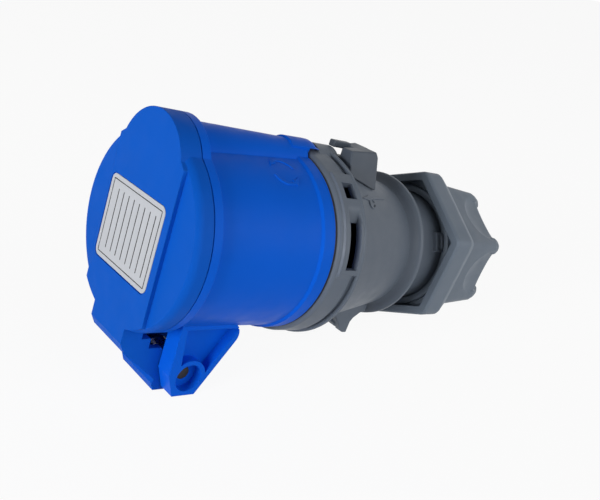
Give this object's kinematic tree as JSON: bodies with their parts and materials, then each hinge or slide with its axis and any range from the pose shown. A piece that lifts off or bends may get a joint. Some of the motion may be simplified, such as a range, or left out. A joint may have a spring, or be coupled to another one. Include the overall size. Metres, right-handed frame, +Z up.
{
  "type": "industrial cable coupler",
  "caption": "Round cable coupler with a sprung flap lid on a hinge bracket, a twist-lock rear half with a lock slide and a hexagonal gland nut with claws.",
  "frame": {"origin": "centre of the bounding box at the base, on the surface that the coupler lies on", "axes": "+X from the lid to the gland nut, level, +Z up. The coupler's own axis leans about 10 degrees down towards the nut, because it rests on its hinge bracket and one ridge of the nut"},
  "size_m": [0.1463, 0.058, 0.0783],
  "materials": {
    "housing_blue": "satin moulded blue",
    "lid_blue": "fine matt moulded blue",
    "label_silver": "satin silver foil label, blank",
    "seal_black": "matt black rubber",
    "plated_steel": "zinc plated",
    "spring_steel": "bright spring wire",
    "carrier_grey": "matt dark grey",
    "contact_brass": "machined brass",
    "housing_grey": "satin moulded grey",
    "lock_grey": "satin moulded grey",
    "cage_grey": "matt dark grey",
    "slip_white": "smooth natural plastic",
    "nut_grey": "satin moulded grey"
  },
  "bodies": {
    "coupler_body": {"front_housing": "housing_blue", "hinge_pin": "plated_steel", "hinge_spring": "spring_steel", "contact_carrier": "carrier_grey", "contact_live": "contact_brass", "contact_neutral": "contact_brass", "contact_earth": "contact_brass", "contact_springs": "spring_steel", "terminal_screw_live": "plated_steel", "terminal_screw_neutral": "plated_steel", "terminal_screw_earth": "plated_steel", "carrier_screws": "plated_steel", "body_seal": "seal_black"},
    "lid_body": {"lid": "lid_blue", "lid_seal": "seal_black", "rating_label": "label_silver"},
    "rear_body": {"rear_housing": "housing_grey", "gland_cage": "cage_grey", "gland_seal": "seal_black"},
    "lock_body": {"lock_slide": "lock_grey"},
    "slip_body": {"slip_ring": "slip_white"},
    "nut_body": {"gland_nut": "nut_grey"}
  },
  "joints": [
    {"name": "lid_hinge", "type": "hinge", "parent": "coupler_body", "child": "lid_body", "pos_m": [-0.05481, 0, 0.00557], "axis": [0, -1, 0], "range_deg": [0, 115], "stiffness_Nm_per_rad": 0.03, "springref_deg": -51.57},
    {"name": "bayonet_twist", "type": "hinge", "parent": "coupler_body", "child": "rear_body", "pos_m": [-0.01587, 0, 0.03713], "axis": [0.9845, 0, -0.1753], "range_deg": [0, 28]},
    {"name": "lock_travel", "type": "slide", "parent": "rear_body", "child": "lock_body", "axis": [0.9845, 0, -0.1753], "range_m": [0, 0.003], "stiffness_N_per_m": 200, "springref_m": -0.004},
    {"name": "gland_travel", "type": "slide", "parent": "rear_body", "child": "slip_body", "axis": [0.9845, 0, -0.1753], "range_m": [0, 0.006]},
    {"name": "nut_turn", "type": "hinge", "parent": "slip_body", "child": "nut_body", "pos_m": [0.04812, 0, 0.02574], "axis": [0.9845, 0, -0.1753], "range_deg": [0, 1080]}
  ],
  "couplings": [
    {"joint": "gland_travel", "follows": "nut_turn", "m_per_rad": 0.00031831}
  ]
}
